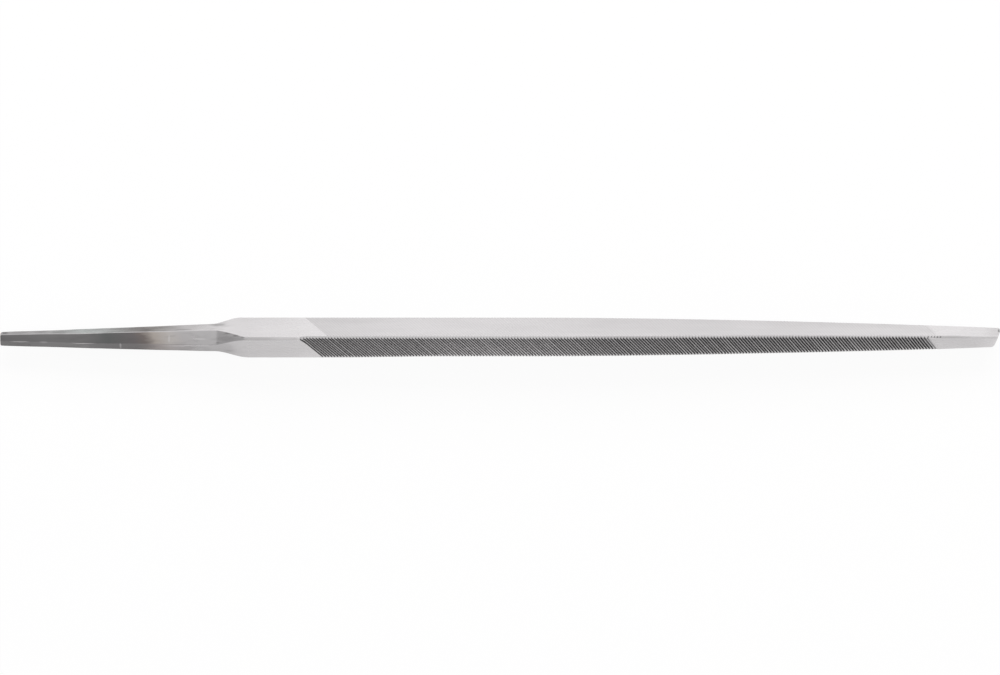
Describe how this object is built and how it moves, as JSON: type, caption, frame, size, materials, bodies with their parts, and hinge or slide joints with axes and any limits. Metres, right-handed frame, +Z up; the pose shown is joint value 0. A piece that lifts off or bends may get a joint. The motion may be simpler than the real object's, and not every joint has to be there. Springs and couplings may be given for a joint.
{
  "type": "triangular saw file",
  "caption": "Slim triangular file for saw teeth, with slanted single-cut teeth on its faces, toothed edges, a smooth heel and tip, and a bare tapered tang.",
  "frame": {"origin": "middle of the file's footprint, on the surface it lies on", "axes": "+X along the bar from the tang to the tip, +Y across it, +Z up through the upper edge"},
  "size_m": [0.1962, 0.0078, 0.0069],
  "materials": {
    "file_steel": "bright ground faces and cut teeth, dull heat-tinted tang"
  },
  "bodies": {
    "root": {"saw_file": "file_steel"}
  },
  "joints": []
}
